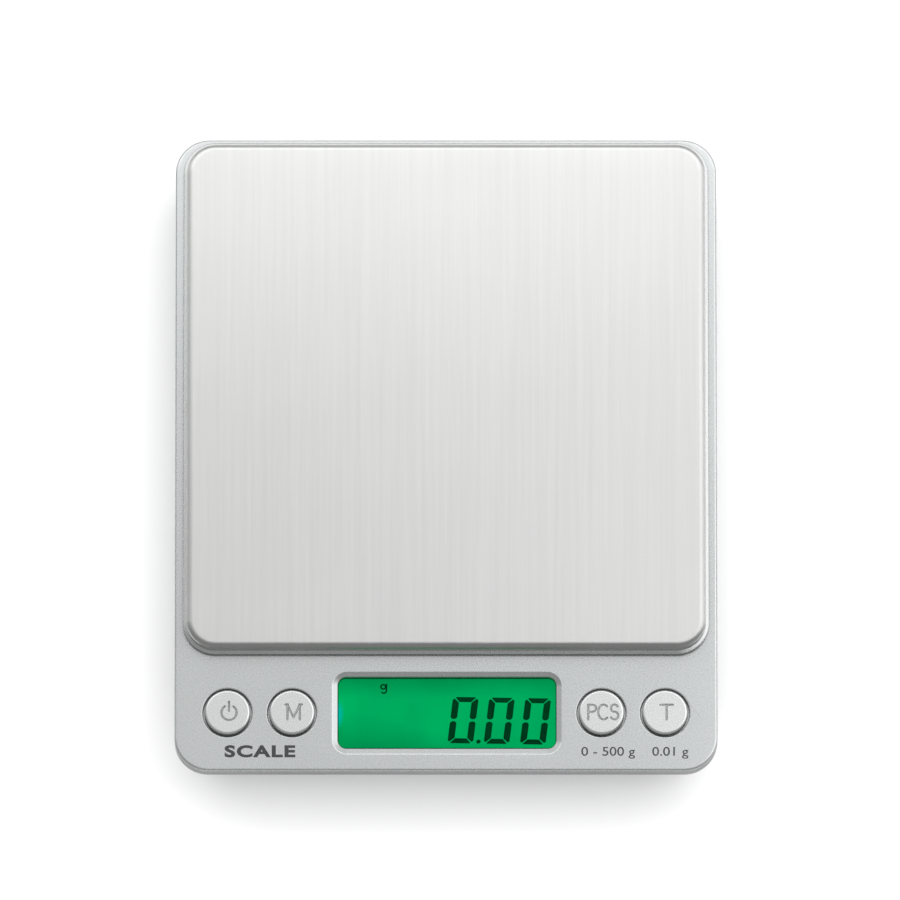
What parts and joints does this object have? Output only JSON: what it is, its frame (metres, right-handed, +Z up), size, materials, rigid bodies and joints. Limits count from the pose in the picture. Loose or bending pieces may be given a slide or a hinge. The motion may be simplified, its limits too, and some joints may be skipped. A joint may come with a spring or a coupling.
{
  "type": "digital gram scale",
  "caption": "Low silver digital gram scale with a square brushed steel pan, round push buttons and a green backlit segment display in front.",
  "frame": {"origin": "on the resting plane, under the centre of the case outline", "axes": "+Z up through the weighing pan, +Y from the display towards the rear edge, +X to the right seen from the display"},
  "size_m": [0.106, 0.127, 0.019],
  "materials": {
    "case_silver": "silver satin paint on moulded plastic",
    "platform_silver": "silver satin paint on moulded plastic",
    "button_silver": "silver satin paint, legend sunk into the face",
    "pan_steel": "brushed lengthways, rolled edge",
    "alloy": "machined",
    "fastener_steel": "zinc plated",
    "foot_rubber": "matt black rubber",
    "board_green": "solder mask on glass-fibre board",
    "black_plastic": "matt",
    "white_plastic": "moulded white plastic",
    "window_clear": "clear moulded window",
    "display_green": "backlit green segment display",
    "tinned_metal": "tinned spring steel",
    "cell_jacket": "printed cell jacket, stands in for the cell's mean density",
    "red_insulation": "PVC insulation",
    "black_insulation": "PVC insulation",
    "grey_insulation": "flat cable and elastomer strip",
    "foam_tape": "double-sided foam tape"
  },
  "bodies": {
    "case": {"backlight_diffuser": "white_plastic", "backlight_frame": "white_plastic", "backlight_led": "white_plastic", "base_shell": "case_silver", "battery_1": "cell_jacket", "battery_2": "cell_jacket", "battery_lead_black": "black_insulation", "battery_lead_red": "red_insulation", "battery_spring_1": "tinned_metal", "battery_spring_2": "tinned_metal", "beam_base_spacer": "fastener_steel", "beam_screw_1": "fastener_steel", "beam_screw_2": "fastener_steel", "board_screw_1": "fastener_steel", "board_screw_2": "fastener_steel", "board_screw_3": "fastener_steel", "board_screw_4": "fastener_steel", "case_screw_1": "fastener_steel", "case_screw_2": "fastener_steel", "case_screw_3": "fastener_steel", "case_screw_4": "fastener_steel", "chip_cap": "black_plastic", "circuit_board": "board_green", "contact_link": "tinned_metal", "contact_negative": "tinned_metal", "contact_positive": "tinned_metal", "display_window": "window_clear", "gauge_coat_lower": "white_plastic", "gauge_coat_upper": "white_plastic", "lcd_glass": "display_green", "load_cell_beam": "alloy", "load_cell_cable": "grey_insulation", "overload_stop_screw": "fastener_steel", "rubber_foot_1": "foot_rubber", "rubber_foot_2": "foot_rubber", "rubber_foot_3": "foot_rubber", "rubber_foot_4": "foot_rubber", "switch_mode": "tinned_metal", "switch_pieces": "tinned_metal", "switch_power": "tinned_metal", "switch_tare": "tinned_metal", "top_shell": "case_silver", "zebra_connector": "grey_insulation"},
    "platform": {"steel_pan": "pan_steel", "platform_support": "platform_silver", "platform_spacer": "alloy", "pan_tape": "foam_tape", "platform_screw_1": "fastener_steel", "platform_screw_2": "fastener_steel"},
    "button_power": {"button_power": "button_silver", "plunger_power": "black_plastic"},
    "button_mode": {"button_mode": "button_silver", "plunger_mode": "black_plastic"},
    "button_pieces": {"button_pieces": "button_silver", "plunger_pieces": "black_plastic"},
    "button_tare": {"button_tare": "button_silver", "plunger_tare": "black_plastic"},
    "battery_door": {"battery_door": "case_silver"}
  },
  "joints": [
    {"name": "platform_sink", "type": "slide", "parent": "case", "child": "platform", "axis": [0, 0, 1], "range_m": [-0.00035, 0], "stiffness_N_per_m": 14000, "springref_m": 0.0001, "deforming": ["load_cell_beam"]},
    {"name": "power_press", "type": "slide", "parent": "case", "child": "button_power", "axis": [0, 0, -1], "range_m": [0, 0.0004], "stiffness_N_per_m": 2500},
    {"name": "mode_press", "type": "slide", "parent": "case", "child": "button_mode", "axis": [0, 0, -1], "range_m": [0, 0.0004], "stiffness_N_per_m": 2500},
    {"name": "pieces_press", "type": "slide", "parent": "case", "child": "button_pieces", "axis": [0, 0, -1], "range_m": [0, 0.0004], "stiffness_N_per_m": 2500},
    {"name": "tare_press", "type": "slide", "parent": "case", "child": "button_tare", "axis": [0, 0, -1], "range_m": [0, 0.0004], "stiffness_N_per_m": 2500},
    {"name": "battery_door_slide", "type": "slide", "parent": "case", "child": "battery_door", "axis": [0, 1, 0], "range_m": [0, 0.03]}
  ]
}
